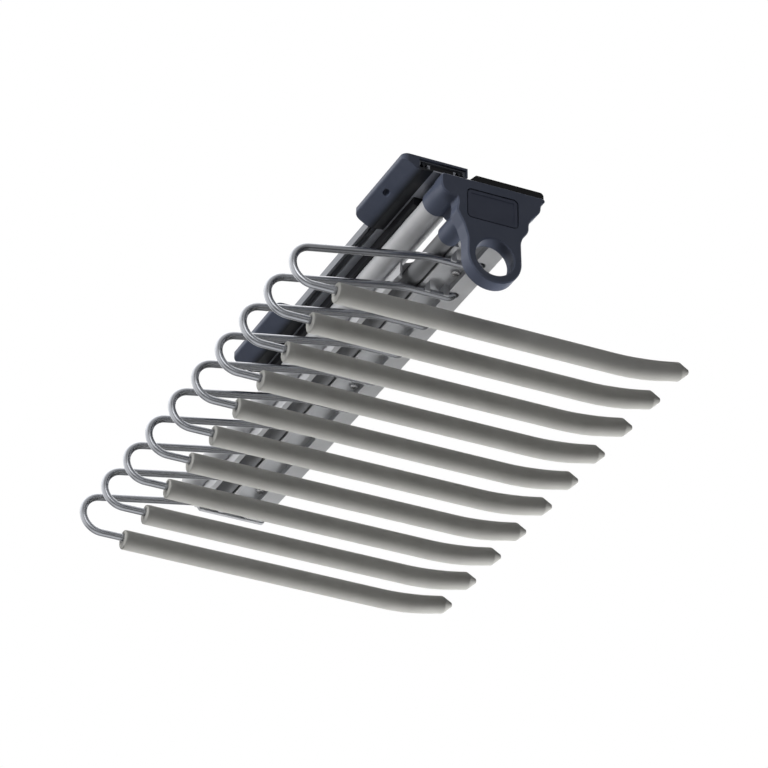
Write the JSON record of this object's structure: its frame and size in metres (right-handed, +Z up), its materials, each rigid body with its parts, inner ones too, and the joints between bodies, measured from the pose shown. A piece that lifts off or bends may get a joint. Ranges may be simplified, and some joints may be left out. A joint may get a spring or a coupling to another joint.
{
  "type": "pull out trouser rack",
  "caption": "Pull-out trouser rack for under a wardrobe shelf: bent wire arms with soft sleeves on a carriage that runs out on a telescopic ball slide, with a pull ring in front.",
  "frame": {"origin": "on the mounting plane under the shelf, midway between the two screw holes of the slide", "axes": "+X along the arms towards their tips, -Y the way the rack pulls out, +Z up to the shelf"},
  "size_m": [0.3306, 0.488, 0.106],
  "materials": {
    "slide_steel": "bright zinc, rolled",
    "slide_black": "black coated steel",
    "cage_steel": "thin pressed strip",
    "ball_steel": "polished balls",
    "slate_plastic": "dark slate moulding, fine satin",
    "label_plastic": "dark slate inset, bare",
    "black_plastic": "black moulding",
    "black_rubber": "black rubber",
    "rail_aluminium": "satin anodised, drawn lengthways",
    "grey_plastic": "light grey moulding",
    "screw_steel": "zinc plated",
    "wire_chrome": "satin chrome wire",
    "sleeve_grey": "matte warm grey soft sleeve"
  },
  "bodies": {
    "base": {"slide_outer": "slide_steel", "front_bracket": "slate_plastic", "rear_bracket": "slate_plastic", "bracket_rivets": "screw_steel", "rear_buffer": "black_rubber"},
    "middle": {"slide_middle": "slide_black"},
    "outer_cage": {"ball_cage_outer": "cage_steel", "balls_outer": "ball_steel"},
    "inner_cage": {"ball_cage_inner": "cage_steel", "balls_inner": "ball_steel"},
    "carriage": {"slide_inner": "slide_steel", "slide_bumper": "black_plastic", "saddle_bar": "black_plastic", "saddle_screws": "screw_steel", "carriage_rail": "rail_aluminium", "front_cap": "slate_plastic", "label_plate": "label_plastic", "cap_screws": "screw_steel", "top_buffer": "black_rubber", "clip_strip": "grey_plastic", "clip_screws": "screw_steel", "rear_end_cap": "grey_plastic", "tube_plug": "grey_plastic", "arm_wire_01": "wire_chrome", "arm_wire_02": "wire_chrome", "arm_wire_03": "wire_chrome", "arm_wire_04": "wire_chrome", "arm_wire_05": "wire_chrome", "arm_wire_06": "wire_chrome", "arm_wire_07": "wire_chrome", "arm_wire_08": "wire_chrome", "arm_wire_09": "wire_chrome", "arm_wire_10": "wire_chrome", "arm_sleeve_01": "sleeve_grey", "arm_sleeve_02": "sleeve_grey", "arm_sleeve_03": "sleeve_grey", "arm_sleeve_04": "sleeve_grey", "arm_sleeve_05": "sleeve_grey", "arm_sleeve_06": "sleeve_grey", "arm_sleeve_07": "sleeve_grey", "arm_sleeve_08": "sleeve_grey", "arm_sleeve_09": "sleeve_grey", "arm_sleeve_10": "sleeve_grey"}
  },
  "joints": [
    {"name": "carriage_slide", "type": "slide", "parent": "base", "child": "carriage", "axis": [0, -1, 0], "range_m": [0, 0.3]},
    {"name": "middle_slide", "type": "slide", "parent": "base", "child": "middle", "axis": [0, -1, 0], "range_m": [0, 0.15]},
    {"name": "outer_cage_slide", "type": "slide", "parent": "base", "child": "outer_cage", "axis": [0, -1, 0], "range_m": [0, 0.075]},
    {"name": "inner_cage_slide", "type": "slide", "parent": "base", "child": "inner_cage", "axis": [0, -1, 0], "range_m": [0, 0.225]}
  ],
  "couplings": [
    {"joint": "middle_slide", "follows": "carriage_slide", "ratio": 0.5},
    {"joint": "outer_cage_slide", "follows": "carriage_slide", "ratio": 0.25},
    {"joint": "inner_cage_slide", "follows": "carriage_slide", "ratio": 0.75}
  ]
}
